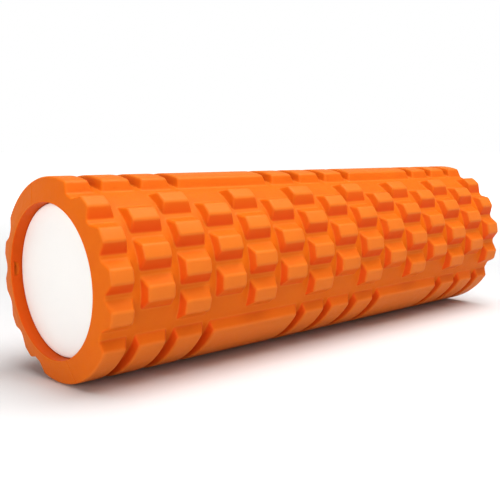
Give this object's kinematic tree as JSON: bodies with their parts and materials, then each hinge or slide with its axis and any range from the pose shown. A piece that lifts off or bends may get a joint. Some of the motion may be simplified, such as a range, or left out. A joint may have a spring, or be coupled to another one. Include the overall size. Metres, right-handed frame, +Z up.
{
  "type": "foam roller",
  "caption": "Massage foam roller with a staggered block tread and two smooth bands of bars, two foam half shells bonded round a hollow core closed by push-in end caps.",
  "frame": {"origin": "on the roller's axis, halfway along its length", "axes": "+X along the axis from the near end to the far end; +Z up, with the roller lying on its lower smooth band, so the floor is the roller's radius below the origin; -Y is the front, which the front rows of blocks face"},
  "size_m": [0.457, 0.14, 0.14],
  "materials": {
    "eva_foam": "matt closed-cell moulded foam",
    "core_plastic": "matt extruded plastic",
    "cap_plastic": "satin moulded plastic"
  },
  "bodies": {
    "roller": {"front_foam_shell": "eva_foam", "rear_foam_shell": "eva_foam", "core_tube": "core_plastic"},
    "near_cap": {"near_end_cap": "cap_plastic"},
    "far_cap": {"far_end_cap": "cap_plastic"}
  },
  "joints": [
    {"name": "near_cap_pull", "type": "slide", "parent": "roller", "child": "near_cap", "axis": [-1, 0, 0], "range_m": [0, 0.1]},
    {"name": "far_cap_pull", "type": "slide", "parent": "roller", "child": "far_cap", "axis": [1, 0, 0], "range_m": [0, 0.1]}
  ]
}
